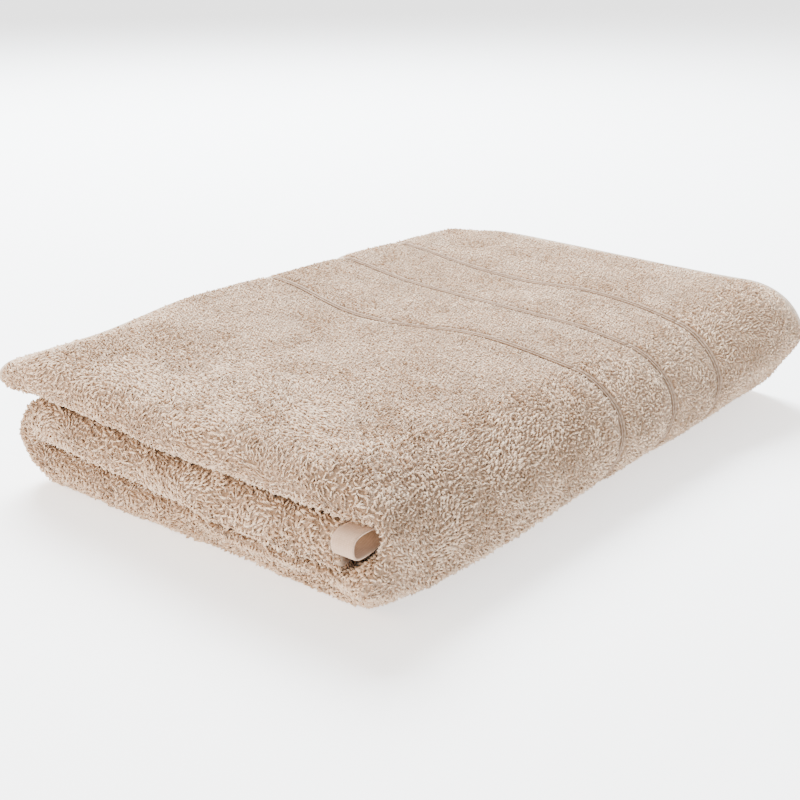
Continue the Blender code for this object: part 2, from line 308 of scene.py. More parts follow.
def settle(x, y, z):
    """Moves a point of the neatly folded towel to where it lies in the real one."""
    if z > TOP_Z - MM / 4:
        z = thin_edge(x, y, z)
    front, foot = over(y - FRONT_Y, *FRONT), over(z, *FOOT)
    new_y = y + front * (smooth_table(LIP_RETREAT, x) + foot * smooth_table(FOOT_RETREAT, x))
    crease = math.exp(-(((z - PANEL) / CREASE_WIDTH) ** 2)) * over(x, *CREASE_RUN)
    new_y += pit(x, y, z) - CREASE_FILL * crease * front
    new_x = x + foot * over(x - RIGHT_X, *BULGE_RUN) * smooth_table(FOOT_BULGE, y)
    slump = smooth_table(SLUMP_ACROSS, x) * smooth_table(SLUMP_ALONG, y) / MM
    new_z = z - slump * over(z, *SLUMP_RISE)
    new_z -= BACK_DROOP * over(y - BACK_Y, *BACK_RUN) * over(z - MIDDLE_Z, *BACK_RISE)
    far_end = over(y, *SWELL_ALONG) * over(x, *SWELL_ACROSS)
    new_x += FAR_SWELL * far_end * (over(z, *SWELL_RISE) * (1 + FAR_TUCK) - FAR_TUCK)
    eye = over(y - FRONT_Y, *EYE_ALONG) * over(x, *EYE_LEFT) * over(x, *EYE_RIGHT)
    new_x += EYE_SHIFT * eye * over(z, *EYE_FOOT) * over(z, *EYE_CROWN)
    up = min(max(z / HEIGHT, 0.0), 1.0)
    new_y += front * uneven(x, y, z, BUMPS_IN_Y)
    new_z += up * uneven(x, y, 0, BUMPS_IN_Z)
    new_x += uneven(x, y, z, BUMPS_IN_X)
    return Vector((new_x, new_y, new_z))


shoulder = Vector((RIGHT_X, 0, HEIGHT))
moved = (settle(*shoulder) - shoulder) / MM
print(f"the right shoulder moves by {[round(step, 1) for step in moved]} mm")

# %% [markdown]
# `drift` slides the cloth of the top within itself. The tables give, for each corded line, how far it
# lies behind its straight course at each distance s across the towel. `dent` pulls the cloth in at each
# line, steeply behind it and gently before it, as the tighter cords do.

# %% Pull the cloth askew
CORD_LINES = sorted(
    (low(n).y + high(n).y) / 2 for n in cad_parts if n.startswith("outer_border") and n.endswith("flap")
)
DRIFTS = (
    ((17, -8), (32, -9), (51, -12), (68, -14.4), (81, -15.8), (95, -14.2), (109, -10.7), (121, -6.2),
     (133, -2.2), (147, -0.5), (170, 0.6), (211, 1.6), (223, 3.6), (235, 2.4), (243, -1), (251, -8)),
    ((8, 2.2), (35, 1.7), (51, -0.4), (68, -1.6), (81, 1.2), (123, 0.5), (136, -1.7), (149, -4), (161, -1.8),
     (177, 0.8), (206, 1.7), (232, 1.2), (239, -2), (251, -10)),
    ((7, 2.5), (20, 4.6), (52, 2.6), (78, 0.7), (103, -0.9), (124, 0.4), (161, 2.4), (194, 2.2), (207, 1),
     (216, -1.2), (223, -3), (230, -4.7), (237, -6.5), (249, -11)),
)  # fmt: skip
DRIFT_REACH = 13 * MM
DRIFT_BACK, DRIFT_FRONT = (0, 60), (0, 100)
DENT = 1.7 * MM
DENT_NEAR_REACH = 5.5 * MM
DENT_FAR_REACH = 2.2 * MM


def drift(s, t):
    """How far the cloth of the top has been pulled towards the back."""
    y = BACK_Y - t
    first, second, third = (smooth_table(table, s, DRIFT_REACH) for table in DRIFTS)
    between = (y - CORD_LINES[0]) / (CORD_LINES[1] - CORD_LINES[0])
    beyond = (y - CORD_LINES[1]) / (CORD_LINES[2] - CORD_LINES[1])
    amount = first + (second - first) * ease(between) + (third - second) * ease(beyond)
    return amount * over(BACK_Y - y, *DRIFT_BACK) * over(y - LIP_Y, *DRIFT_FRONT)


def dent(t):
    """How far the corded bands pull the cloth in."""
    total = 0.0
    for line in CORD_LINES:
        past = t - (BACK_Y - line)
        total += math.exp(-((past / (DENT_NEAR_REACH if past > 0 else DENT_FAR_REACH)) ** 2))
    return DENT * total


def place(s, t, h):
    """Where a point of the cloth ends up."""
    y, n = strip(t, h)
    if t < RUN_T:
        y += drift(s, t)
        n -= dent(t)
    x, z = turn(s, n)
    return settle(x, y, z)


print(f"the corded lines wander by up to {max(abs(amount) for run in DRIFTS for _, amount in run)} mm")

# %% [markdown]
# ## The camera
#
# A camera that looks down on the near corner from about 21 degrees shows the three lips, the hanging loop
# and the corded lines at once. A longish lens at two thirds of a metre keeps the lines nearly parallel.

# %% Place the camera
CAMERA_AZIMUTH = math.radians(40.75)
CAMERA_ELEVATION = math.radians(20.8)
CAMERA_DISTANCE = 0.6564
CAMERA_TARGET = Vector((0.0035, 0.0053, 0.0237))
CAMERA_LENS = 55.9
CAMERA_SHIFT = (-0.044, -0.0068)

level = math.cos(CAMERA_ELEVATION)
right, back = math.sin(CAMERA_AZIMUTH) * level, -math.cos(CAMERA_AZIMUTH) * level
away = Vector((right, back, math.sin(CAMERA_ELEVATION)))
camera = bpy.data.objects.new("camera", bpy.data.cameras.new("camera"))
camera.location = CAMERA_TARGET + away * CAMERA_DISTANCE
camera.rotation_euler = (-away).to_track_quat("-Z", "Y").to_euler()
camera.data.lens = CAMERA_LENS
camera.data.shift_x, camera.data.shift_y = CAMERA_SHIFT
bpy.context.scene.collection.objects.link(camera)
bpy.context.scene.camera = camera
print(f"camera {CAMERA_DISTANCE} m away")

# %% [markdown]
# ## Materials
#
# Cotton has no gloss but a soft sheen, where fine fibres catch the light at the edge of every yarn. The
# colour is never even: each loop takes the dye and the light a little differently. The ground between the
# loops has painted shade: its colour is much darker than the yarn's, for the shadow it lies in, and darker
# still in the hollows round each loop's root.

# %% Node helpers
def new_material(name, roughness, sheen, sheen_tint):
    """A cotton material, its node tree and its shader."""
    material = bpy.data.materials.new(name)
    material.use_nodes = True
    tree = material.node_tree
    shader = tree.nodes["Principled BSDF"]
    shader.inputs["Roughness"].default_value = roughness
    shader.inputs["Specular IOR Level"].default_value = 0.2
    shader.inputs["Sheen Weight"].default_value = sheen
    shader.inputs["Sheen Roughness"].default_value = 0.5
    shader.inputs["Sheen Tint"].default_value = (*sheen_tint, 1)
    return material, tree, shader


def add_node(tree, kind, **settings):
    """A node, with its properties and its unlinked inputs set by name."""
    node = tree.nodes.new(kind)
    for name, value in settings.items():
        if hasattr(node, name):
            setattr(node, name, value)
        else:
            node.inputs[name.replace("_", " ")].default_value = value
    return node


def ramp(tree, source, *stops):
    """A colour ramp over a grey value, with stops of (position, colour)."""
    node = tree.nodes.new("ShaderNodeValToRGB")
    elements = node.color_ramp.elements
    for i, (position, colour) in enumerate(stops):
        element = elements[i] if i < 2 else elements.new(position)
        element.position = position
        element.color = (*colour, 1)
    tree.links.new(source, node.inputs["Fac"])
    return node.outputs["Color"]


def bumps(tree, shader, height, strength, distance):
    """Turns a grey value into surface relief."""
    node = add_node(tree, "ShaderNodeBump", Strength=strength, Distance=distance)
    tree.links.new(height, node.inputs["Height"])
    tree.links.new(node.outputs["Normal"], shader.inputs["Normal"])


def on_object(tree, kind, **settings):
    """A texture laid out by Object coordinates."""
    node = add_node(tree, kind, **settings)
    where = add_node(tree, "ShaderNodeTexCoord")
    tree.links.new(where.outputs["Object"], node.inputs["Vector"])
    return node


def mix_greys(tree, pattern, strength, base):
    """The grey value pattern * strength + base."""
    node = add_node(tree, "ShaderNodeMath", operation="MULTIPLY_ADD")
    tree.links.new(pattern, node.inputs[0])
    node.inputs[1].default_value = strength
    tree.links.new(base, node.inputs[2])
    return node.outputs[0]


print("each cotton starts from the Principled shader")

# %% [markdown]
# The yarn of the pile takes its shade from an attribute, one value for each loop, and from broad patches
# over the whole towel. Its strands are a wave along the yarn. The woven materials cross two waves, warp
# and weft, in metres on the cloth's own map, so that the threads follow every fold.

# %% Yarn and weaves
SAND_LIGHT = (0.80, 0.615, 0.45)
SAND = (0.69, 0.495, 0.34)
SAND_DEEP = (0.51, 0.325, 0.195)
# The two ground colours are painted shade: the ground is the yarn's own cotton, coloured much darker for the
# shadow under the loops.
GROUND_PAINTED_SHADE_LIGHT = (0.50, 0.35, 0.24)
GROUND_PAINTED_SHADE_DEEP = (0.29, 0.185, 0.115)
COTTON_SHEEN = (1.0, 0.93, 0.86)
PATCH_STRENGTH = 0.45
STRAND_STRETCH = (3.0, 2.0, 1.0)
STUB_GAP_SHADE = -0.8
THREAD_STRENGTH = 0.5


def make_pile_material():
    material, tree, shader = new_material("terry_yarn", 0.95, 0.35, COTTON_SHEEN)
    shade = add_node(tree, "ShaderNodeAttribute", attribute_name="shade")
    patches = on_object(tree, "ShaderNodeTexNoise", Scale=22.0, Detail=3.0, Roughness=0.6)
    mixed = mix_greys(tree, patches.outputs["Fac"], PATCH_STRENGTH, shade.outputs["Fac"])
    colour = ramp(tree, mixed, (0.1, SAND_DEEP), (0.95, SAND_LIGHT), (0.5, SAND))
    tree.links.new(colour, shader.inputs["Base Color"])
    along = add_node(tree, "ShaderNodeUVMap", uv_map="yarn")
    strands = add_node(tree, "ShaderNodeTexWave", wave_type="BANDS", bands_direction="DIAGONAL", Scale=1.2)
    stretch = add_node(tree, "ShaderNodeMapping")
    stretch.inputs["Scale"].default_value = STRAND_STRETCH
    tree.links.new(along.outputs["UV"], stretch.inputs["Vector"])
    tree.links.new(stretch.outputs["Vector"], strands.inputs["Vector"])
    bumps(tree, shader, strands.outputs["Fac"], 0.35, 0.1 * MM)
    return material


def make_ground_material():
    """The woven ground between the loops, with the stub of each loop as relief. Its colour is painted shade:
    dark all over for the shadow under the loops, and darker still in the hollows between the stub cells.
    """
    material, tree, shader = new_material("terry_ground", 0.95, 0.3, COTTON_SHEEN)
    stub_relief_and_gap_shade = on_object(tree, "ShaderNodeTexVoronoi", Scale=750.0, Randomness=0.9).outputs["Distance"]
    patches = on_object(tree, "ShaderNodeTexNoise", Scale=60.0, Detail=4.0, Roughness=0.6)
    # Painted shade: the colour darkens away from the middle of each stub cell, into the hollows between them.
    mixed = mix_greys(tree, stub_relief_and_gap_shade, STUB_GAP_SHADE, patches.outputs["Fac"])
    colour = ramp(tree, mixed, (0.0, GROUND_PAINTED_SHADE_DEEP), (0.55, GROUND_PAINTED_SHADE_LIGHT))
    tree.links.new(colour, shader.inputs["Base Color"])
    raised = add_node(tree, "ShaderNodeMath", operation="MULTIPLY")
    tree.links.new(stub_relief_and_gap_shade, raised.inputs[0])
    raised.inputs[1].default_value = -1.0
    bumps(tree, shader, raised.outputs[0], 0.9, 0.8 * MM)
    return material


def make_woven_material(name, light, deep, warp, weft):
    """Flat woven cotton: warp and weft threads that go over and under each other."""
    material, tree, shader = new_material(name, 0.8, 0.25, (1.0, 0.94, 0.88))
    flat = add_node(tree, "ShaderNodeUVMap", uv_map="weave")
    crossing = add_node(tree, "ShaderNodeMath", operation="MULTIPLY")
    for i, (direction, count) in enumerate((("X", warp), ("Y", weft))):
        wave = add_node(tree, "ShaderNodeTexWave", wave_type="BANDS", bands_direction=direction, Scale=count)
        tree.links.new(flat.outputs["UV"], wave.inputs["Vector"])
        tree.links.new(wave.outputs["Fac"], crossing.inputs[i])
    fuzz = on_object(tree, "ShaderNodeTexNoise", Scale=260.0, Detail=3.0, Roughness=0.7)
    mixed = mix_greys(tree, crossing.outputs[0], THREAD_STRENGTH, fuzz.outputs["Fac"])
    colour = ramp(tree, mixed, (0.25, deep), (0.95, light))
    tree.links.new(colour, shader.inputs["Base Color"])
    bumps(tree, shader, mixed, 0.5, 0.2 * MM)
    return material


TERRY_YARN = make_pile_material()
TERRY_GROUND = make_ground_material()
HEM_WEAVE = make_woven_material("hem_weave", (0.50, 0.365, 0.26), (0.35, 0.24, 0.16), 240, 240)
# The cords' deep colour is far darker than in the other weaves: partly the weave, partly painted shadow for
# the dark grooves between and beside the cords.
CORD_WEAVE_AND_SHADOW = make_woven_material("corded_weave", (0.47, 0.335, 0.24), (0.19, 0.12, 0.075), 140, 480)
TAPE_WEAVE = make_woven_material("tape_weave", (0.53, 0.365, 0.265), (0.40, 0.265, 0.18), 260, 420)
STITCH_THREAD = make_woven_material("stitch_thread", (0.74, 0.63, 0.52), (0.55, 0.43, 0.34), 300, 300)
print(f"materials: {', '.join(m.name for m in bpy.data.materials)}")

# %% [markdown]
# ## Cutting a flat sheet
#
# Every piece of cloth starts as a flat grid, as it would on the cutting table. Its columns and rows are
# slid to chosen places, close together where the cloth will bend. Extruding the grid gives the cloth its
# thickness, and only then does `place` fold it.

# %% Sheet helpers
def stations(start, *runs):
    """Places along a line. Each run says where it ends and about how far apart its places are."""
    places = [start]
    for end, step in runs:
        first = places[-1]
        count = max(1, round((end - first) / step))
        places += [first + (end - first) * (i + 1) / count for i in range(count)]
    return places


def flat_grid(across, along):
    """A bmesh grid whose columns and rows lie at the given places."""
    bm = bmesh.new()
    columns, rows = len(across) - 1, len(along) - 1
    bmesh.ops.create_grid(bm, x_segments=columns, y_segments=rows, size=0.5)
    for vert in bm.verts:
        column, row = round((vert.co.x + 0.5) * columns), round((vert.co.y + 0.5) * rows)
        vert.co = (across[column], along[row], 0)
    return bm


print(f"stations from 0 to 10, about 3 apart: {[round(at, 2) for at in stations(0, (10, 3))]}")

# %% [markdown]
# Each slab gets two maps. `weave` is in metres on the flat cloth, for the threads. `OFBake` gives every
# face a place of its own: the two faces of the cloth side by side, and its rims in narrow strips.

# %% Map and fold a slab
BAKE_SIDE = 0.45
BAKE_LENGTH = 0.92
BAKE_MARGIN = 0.02
RIM = 0.01


def share(value, places):
    return (value - places[0]) / (places[-1] - places[0])


def map_slab(bm, across, along, thickness):
    """Two maps of a flat slab: weave, in metres, and OFBake, with every face in a place of its own."""
    weave = bm.loops.layers.uv.new("weave")
    spread = bm.loops.layers.uv.new("OFBake")
    for face in bm.faces:
        normal, middle = face.normal, face.calc_center_median()
        for loop in face.loops:
            s, t, h = loop.vert.co
            u, v, w = share(s, across), share(t, along), 0.5 + h / thickness
            loop[weave].uv = (s, t)
            if abs(normal.z) > 0.5:
                left = BAKE_MARGIN if normal.z > 0 else 0.5 + BAKE_MARGIN
                loop[spread].uv = (left + BAKE_SIDE * u, BAKE_MARGIN + BAKE_LENGTH * v)
            elif abs(normal.x) > 0.5:
                left = BAKE_MARGIN + BAKE_SIDE + (RIM if share(middle.x, across) > 0.5 else 0)
                loop[spread].uv = (left + RIM * w * 0.8, BAKE_MARGIN + BAKE_LENGTH * v)
            else:
                top = BAKE_MARGIN + BAKE_LENGTH + RIM + (2 * RIM if share(middle.y, along) > 0.5 else 0)
                loop[spread].uv = (BAKE_MARGIN + BAKE_SIDE * u, top + RIM * w)


def finish_mesh(name, bm, material):
    """Turns a bmesh into an object at the origin, shaded smooth."""
    mesh = bpy.data.meshes.new(name)
    bm.to_mesh(mesh)
    bm.free()
    mesh.materials.append(material)
    mesh.shade_smooth()
    obj = bpy.data.objects.new(name, mesh)
    bpy.context.scene.collection.objects.link(obj)
    return obj


def cut_and_fold(name, across, along, thickness, material, where=place):
    """A slab of cloth of that thickness, folded into place."""
    bm = flat_grid(across, along)
    made = bmesh.ops.extrude_face_region(bm, geom=bm.faces[:])["geom"]
    raised = {g for g in made if isinstance(g, bmesh.types.BMVert)}
    for vert in bm.verts:
        vert.co.z = thickness / 2 if vert in raised else -thickness / 2
    bmesh.ops.recalc_face_normals(bm, faces=bm.faces)
    bm.normal_update()
    map_slab(bm, across, along, thickness)
    for vert in bm.verts:
        vert.co = where(*vert.co)
    bmesh.ops.recalc_face_normals(bm, faces=bm.faces)
    obj = finish_mesh(name, bm, material)
    print(f"{name}: {len(obj.data.polygons)} faces")
    return obj


def roll_tube(name, places, sides, radius, material, point):
    """A flat grid rolled into a tube. point(run, side, rise) says where a point of the tube lies: run along
    it, and side and rise off its middle."""
    bm = flat_grid(places, [i / sides for i in range(sides + 1)])
    weave = bm.loops.layers.uv.new("weave")
    for face in bm.faces:
        for loop in face.loops:
            loop[weave].uv = (loop.vert.co.x, loop.vert.co.y * 2 * math.pi * radius)
    for vert in bm.verts:
        angle = vert.co.y * 2 * math.pi
        vert.co = point(vert.co.x, radius * math.cos(angle), radius * math.sin(angle))
    bmesh.ops.remove_doubles(bm, verts=bm.verts, dist=0.01 * MM)
    bmesh.ops.holes_fill(bm, edges=[e for e in bm.edges if e.is_boundary])
    bmesh.ops.recalc_face_normals(bm, faces=bm.faces)
    return finish_mesh(name, bm, material)


# %% [markdown]
# ## The cloth
#
# The towel opens like a book at its right fold, so the one sheet is made in three lengths: the flap, the
# bend, and the stack below. They meet edge to edge. The body of each is the woven ground and the roots
# of the loops; the loops that show come later.

# %% Fold the three lengths of cloth
PILE_DEPTH = 1.0 * MM
BODY = PLY - 2 * PILE_DEPTH


def rows_along(first, last):
    """Rows along the towel's length: fine on the outside and in the bends, coarse inside the strip."""
    return stations(
        first,
        (RUN_T, 2.6 * MM),
        (FRONT_TURN_T, 1.7 * MM),
        (BACK_TURN_T - 20 * MM, 6 * MM),
        (BACK_TURN_T, 3 * MM),
        (INNER_RUN_T, 1.3 * MM),
        (INNER_TURN_T, 9 * MM),
        (LAST_RUN_T, 1.3 * MM),
        (last, 9 * MM),
    )


CLOTH_ROWS = rows_along(END_HEM, LENGTH_T - END_HEM)
FLAP_COLUMNS = stations(SIDE_HEM, (FLAP_S, 2.7 * MM))
BEND_COLUMNS = stations(FLAP_S, (RIGHT_FOLD_S, 2.0 * MM))
STACK_COLUMNS = stations(
    RIGHT_FOLD_S, (BOTTOM_S, 5 * MM), (LEFT_FOLD_S, 1.9 * MM), (WIDTH_S - SIDE_HEM, 5 * MM)
)

flap_cloth = cut_and_fold("flap_cloth", FLAP_COLUMNS, CLOTH_ROWS, BODY, TERRY_GROUND)
bend_cloth = cut_and_fold("right_fold_cloth", BEND_COLUMNS, CLOTH_ROWS, BODY, TERRY_GROUND)
stack_cloth = cut_and_fold("stack_cloth", STACK_COLUMNS, CLOTH_ROWS, BODY, TERRY_GROUND)


def on_flap(obj, slot):
    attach(obj, "flap")
    return obj


def on_stack(obj, slot):
    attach(obj, "stack")
    return obj


def on_bend(obj, slot):
    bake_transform(obj)
    return obj


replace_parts(on_flap(flap_cloth, "terry"), "top_panel")
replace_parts(on_bend(bend_cloth, "terry"), "right_fold_lower", "right_fold_upper")
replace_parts(on_stack(stack_cloth, "terry"), "bottom_panel", "left_fold", "middle_panel")

# %% [markdown]
# ## The hems
#
# Both long sides and both ends are turned under and sewn down flat, with no pile. Each hem is a thinner
# strip of plain weave that starts just under the edge of the terry.

# %% Fold the hems
HEM_THICKNESS = 2.8 * MM
HEM_TUCK = 1.2 * MM
HEM_ROWS = rows_along(0, LENGTH_T)
HEM_ENDS = {"outer": (0, END_HEM + HEM_TUCK), "inner": (LENGTH_T - END_HEM - HEM_TUCK, LENGTH_T)}


def side_hem(name, first, last):
    return cut_and_fold(name, stations(first, (last, 1.6 * MM)), HEM_ROWS, HEM_THICKNESS, HEM_WEAVE)


flap_side_hem = side_hem("flap_side_hem_woven", 0, SIDE_HEM + HEM_TUCK)
inner_side_hem = side_hem("inner_side_hem_woven", WIDTH_S - SIDE_HEM - HEM_TUCK, WIDTH_S)
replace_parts(on_flap(flap_side_hem, "hem_cloth"), "flap_side_hem")
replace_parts(on_stack(inner_side_hem, "hem_cloth"), "inner_side_hem")

PARTS = (
    ("flap", FLAP_COLUMNS, on_flap),
    ("fold", BEND_COLUMNS, on_bend),
    ("stack", STACK_COLUMNS, on_stack),
)
end_hems = {"flap": [], "fold": [], "stack": []}
for label, (first, last) in HEM_ENDS.items():
    rows = stations(first, (last, 2 * MM))
    for part, columns, ride_on in PARTS:
        hem = cut_and_fold(f"{label}_end_hem_on_{part}", columns, rows, HEM_THICKNESS, HEM_WEAVE)
        end_hems[part].append(ride_on(hem, "hem_cloth"))
        if part != "fold":
            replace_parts(hem, f"{label}_end_hem_{part}")

# %% [markdown]
# ## The corded lines
#
# Near each end, three pairs of fine cords are woven in across the towel, in a narrow band without pile.
# A cord is a flat grid again, rolled into a tube and laid along the cloth.

# %% Roll and lay the cords
CORD_RADIUS = 0.45 * MM
CORD_SPREAD = 0.8 * MM
CORD_SIDES = 8


def corded_line(name, columns, centre_t, h):
    """Two cords side by side across the towel at a distance centre_t, as one piece."""
    bm = bmesh.new()
    for side_of in (-1, 1):
        middle = centre_t + side_of * CORD_SPREAD

        def on_cloth(run, side, rise, middle=middle):
            return place(run, middle + side, h + rise)

        cord = roll_tube(name + "_part", columns, CORD_SIDES, CORD_RADIUS, CORD_WEAVE_AND_SHADOW, on_cloth)
        bm.from_mesh(cord.data)
        bpy.data.objects.remove(cord)
    return finish_mesh(name, bm, CORD_WEAVE_AND_SHADOW)


CORD_H = PLY / 2 - 0.3 * MM
LINE_T = {
    "outer": [BACK_Y - y for y in reversed(CORD_LINES)],
    "inner": [LAST_RUN_T + y - LIP_Y for y in reversed(CORD_LINES)],
}
for label, lines in LINE_T.items():
    h = CORD_H if label == "outer" else -CORD_H
    for i, line_t in enumerate(lines, start=1):
        for part, columns, ride_on in PARTS:
            line = corded_line(f"{label}_corded_line_{i}_on_{part}", columns, line_t, h)
            ride_on(line, "border_cord")
            if part != "fold":
                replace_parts(line, f"{label}_border_cord_{i}_{part}")
print(f"corded lines at y = {[round(y, 4) for y in CORD_LINES]}")

# %% [markdown]
# ## The hem stitches
#
# A lockstitch shows on the surface as a row of short, plump lengths of thread with a dimple between each
# and the next. One thin tube per row is enough: its middle dips into the cloth once every stitch.

# %% Sew the hems
THREAD_RADIUS = 0.32 * MM
THREAD_SIDES = 6
THREAD_STEP = 0.8 * MM
STITCH_LENGTH = 3.2 * MM
STITCH_DIP = 0.7 * MM
STITCH_INSET = 2.6 * MM
STITCH_H = HEM_THICKNESS / 2 + 0.1 * MM


def sew(name, first, last, point):
    """A row of stitches. point(run, side, h) gives a place run along the row and side off its middle."""

    def on_hem(run, side, rise):
        dip = STITCH_DIP * abs(math.cos(math.pi * run / STITCH_LENGTH)) ** 6
        return point(run, side, STITCH_H + rise - dip)

    row = stations(first, (last, THREAD_STEP))
    print(f"{name}: {round((last - first) / STITCH_LENGTH)} stitches")
    return roll_tube(name, row, THREAD_SIDES, THREAD_RADIUS, STITCH_THREAD, on_hem)


def across_end(run, side, h):
    return place(run, STITCH_INSET + side, h)


def along_flap_side(run, side, h):
    return place(STITCH_INSET + side, run, h)


def along_inner_side(run, side, h):
    return place(WIDTH_S - STITCH_INSET + side, run, h)


on_flap(sew("end_stitches_on_flap", STITCH_INSET, FLAP_S, across_end), "hem_cloth")
on_bend(sew("end_stitches_on_fold", FLAP_S, RIGHT_FOLD_S, across_end), "hem_cloth")
on_stack(sew("end_stitches_on_stack", RIGHT_FOLD_S, WIDTH_S - STITCH_INSET, across_end), "hem_cloth")
on_flap(sew("flap_side_stitches", STITCH_INSET, BACK_TURN_T, along_flap_side), "hem_cloth")
on_stack(sew("inner_side_stitches", STITCH_INSET, FRONT_TURN_T, along_inner_side), "hem_cloth")

# %% [markdown]
# ## The hanging loop
#
# A short length of smooth tape, doubled, with both ends sewn into the crease between the flap and the
# panel beneath. A tape is a narrow sheet, so it is cut and folded as the cloth is, but it follows a path
# of its own. The path below is a rough outline in millimetres, (y, z), and `smooth_path` rounds it.

# %% Make the hanging loop
TAPE_LEFT = low("hanging_loop").x + 15 * MM
TAPE_WIDTH = high("hanging_loop").x - low("hanging_loop").x
TAPE_THICKNESS = 1.1 * MM
TAPE_PATH = (
    (-146, 46.6), (-156, 46.9), (-164, 47.3), (-171, 47.4), (-175.4, 46.6), (-177.4, 44.4), (-177.9, 41.4),
    (-177.5, 38.4), (-176.0, 36.7), (-173.0, 36.4), (-167.0, 37.0), (-160.5, 38.4), (-154.5, 40.6),
    (-149.5, 43.2), (-146, 45.4),
)  # fmt: skip
TAPE_ROUNDS = 3
SELVEDGE_THINNING = 0.35
SELVEDGE_FROM = 0.8


def smooth_path(points, rounds):
    """Rounds off a path by cutting its corners again and again."""
    path = [Vector(p) * MM for p in points]
    for _ in range(rounds):
        cut = [path[0]]
        for a, b in zip(path[:-1], path[1:]):
            cut += [a.lerp(b, 0.25), a.lerp(b, 0.75)]
        path = cut + [path[-1]]
    return path


tape_path = smooth_path(TAPE_PATH, TAPE_ROUNDS)
tape_run = [0.0]
for a, b in zip(tape_path[:-1], tape_path[1:]):
    tape_run.append(tape_run[-1] + (b - a).length)


def along_tape(across, run, h):
    """A point of the tape: across its width, a distance run along it, and h off its middle."""
    i = next((k for k, passed in enumerate(tape_run) if passed > run), len(tape_run) - 1)
    a, b = tape_path[i - 1], tape_path[i]
    point = a.lerp(b, (run - tape_run[i - 1]) / (tape_run[i] - tape_run[i - 1]))
    forward = (b - a).normalized()
    out = Vector((-forward.y, forward.x))
    edge = abs(across / TAPE_WIDTH - 0.5) * 2
    h *= 1 - SELVEDGE_THINNING * ease((edge - SELVEDGE_FROM) / (1 - SELVEDGE_FROM))
    x, y, z = TAPE_LEFT + across, point.x - out.x * h, point.y - out.y * h
    return settle(x, y, z) - Vector((0, pit(x, y, z), 0))


tape_columns = stations(0, (TAPE_WIDTH, 0.8 * MM))
tape_rows = [tape_run[0], *[(a + b) / 2 for a, b in zip(tape_run[:-1], tape_run[1:])], tape_run[-1]]
loop_tape = cut_and_fold("hanging_loop_tape", tape_columns, tape_rows, TAPE_THICKNESS, TAPE_WEAVE, along_tape)
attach(loop_tape, "loop")
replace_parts(loop_tape, "hanging_loop")
print(f"the tape is {tape_run[-1] / MM:.1f} mm long and {TAPE_WIDTH / MM:.1f} mm wide")

# %% [markdown]
# ## One loop of pile
#
# Terry's surface is thousands of little yarn arches. One arch is a three-sided yarn spun through half a
# turn. Four slightly different arches are enough, once they are turned and tilted at random. Each has
# only a few dozen faces, because it will be repeated tens of thousands of times.

# %% Spin the arches
ARCH_STEPS = 4
ARCH_SIDES = 3
ARCHES = (
    (0.50, 0.31, 2.7, 0.35),
    (0.58, 0.30, 2.2, -0.45),
    (0.44, 0.33, 3.2, 0.5),
    (0.64, 0.31, 1.9, -0.35),
)
SINK = 0.25 * MM
ARCH_CAPS = 0.9
FULL_TURN = 2 * math.pi


def map_arch(bm, radius):
    """A yarn map: along the yarn in one direction and round it in the other, its two ends at the side."""
    yarn_map = bm.loops.layers.uv.new("yarn")
    ends = 0
    for face in bm.faces:
        middle = face.calc_center_median()
        if len(face.verts) == 3:
            left = ARCH_CAPS if ends == 0 else (ARCH_CAPS + 1) / 2
            for i, loop in enumerate(face.loops):
                loop[yarn_map].uv = (left + 0.04 * (i % 2), 0.2 * i)
            ends += 1
            continue
        step = math.floor(math.atan2(max(middle.z, 0), middle.x) / math.pi * ARCH_STEPS * 0.9999)
        mid_angle = (step + 0.5) / ARCH_STEPS * math.pi
        hub = Vector((math.cos(mid_angle), 0, math.sin(mid_angle))) * radius * MM
        out = middle - hub
        side_angle = math.atan2(out.y, out.dot(hub.normalized())) % FULL_TURN
        side = math.floor(side_angle / FULL_TURN * ARCH_SIDES) % ARCH_SIDES
        for loop in face.loops:
            co = loop.vert.co
            along = math.atan2(co.z, co.x) / math.pi
            off = co.y - middle.y
            to_edge = 1 if off > 1e-7 or (abs(off) < 1e-7 and side == 1) else 0
            loop[yarn_map].uv = (min(max(along, 0), 1) * ARCH_CAPS, (side + to_edge) / ARCH_SIDES)


def spin_arch(name, radius, yarn, tall, kink):
    """One loop of yarn: radius and yarn thickness in millimetres, height and sideways kink as shares."""
    bm = bmesh.new()
    start = Matrix.Translation((radius * MM, 0, 0))
    bmesh.ops.create_circle(bm, cap_ends=True, segments=ARCH_SIDES, radius=yarn * MM, matrix=start)
    face = bm.faces[:][0]
    ring = [face, *face.edges, *face.verts]
    bmesh.ops.spin(bm, geom=ring, cent=(0, 0, 0), axis=(0, -1, 0), angle=math.pi, steps=ARCH_STEPS)
    bmesh.ops.recalc_face_normals(bm, faces=bm.faces)
    bm.normal_update()
    map_arch(bm, radius)
    for vert in bm.verts:
        angle = math.atan2(vert.co.z, vert.co.x)
        vert.co.y += kink * radius * MM * math.sin(2 * angle)
        vert.co.z = vert.co.z * tall - SINK
    return finish_mesh(name, bm, TERRY_YARN)


arch_collection = bpy.data.collections.new("arches")
for i, shape in enumerate(ARCHES):
    arch = spin_arch(f"arch_{i}", *shape)
    bpy.context.scene.collection.objects.unlink(arch)
    arch_collection.objects.link(arch)
print(f"an arch has {sum(len(p.vertices) - 2 for p in arch.data.polygons)} triangles")

# %% [markdown]
# ## Planting the pile
#
# Geometry nodes plant the arches. They spread points over a patch of the cloth's surface, never closer
# than a loop's width, and put an arch on each. A slow noise gives each arch its direction, so that the
# pile lies in brushed patches as if a hand had passed over it, and a little randomness breaks the rows.

# %% Build the planting node group
LEAN_SWELL = 1.1
LEAN_RANGE = (0.0, 0.55)
SIDE_TILT = 0.35
SIZE_RANGE = (0.8, 1.2)
SHADE_RANGE = (0.0, 0.62)
HEADING_SCATTER = 0.09
CROWDING = 2.0


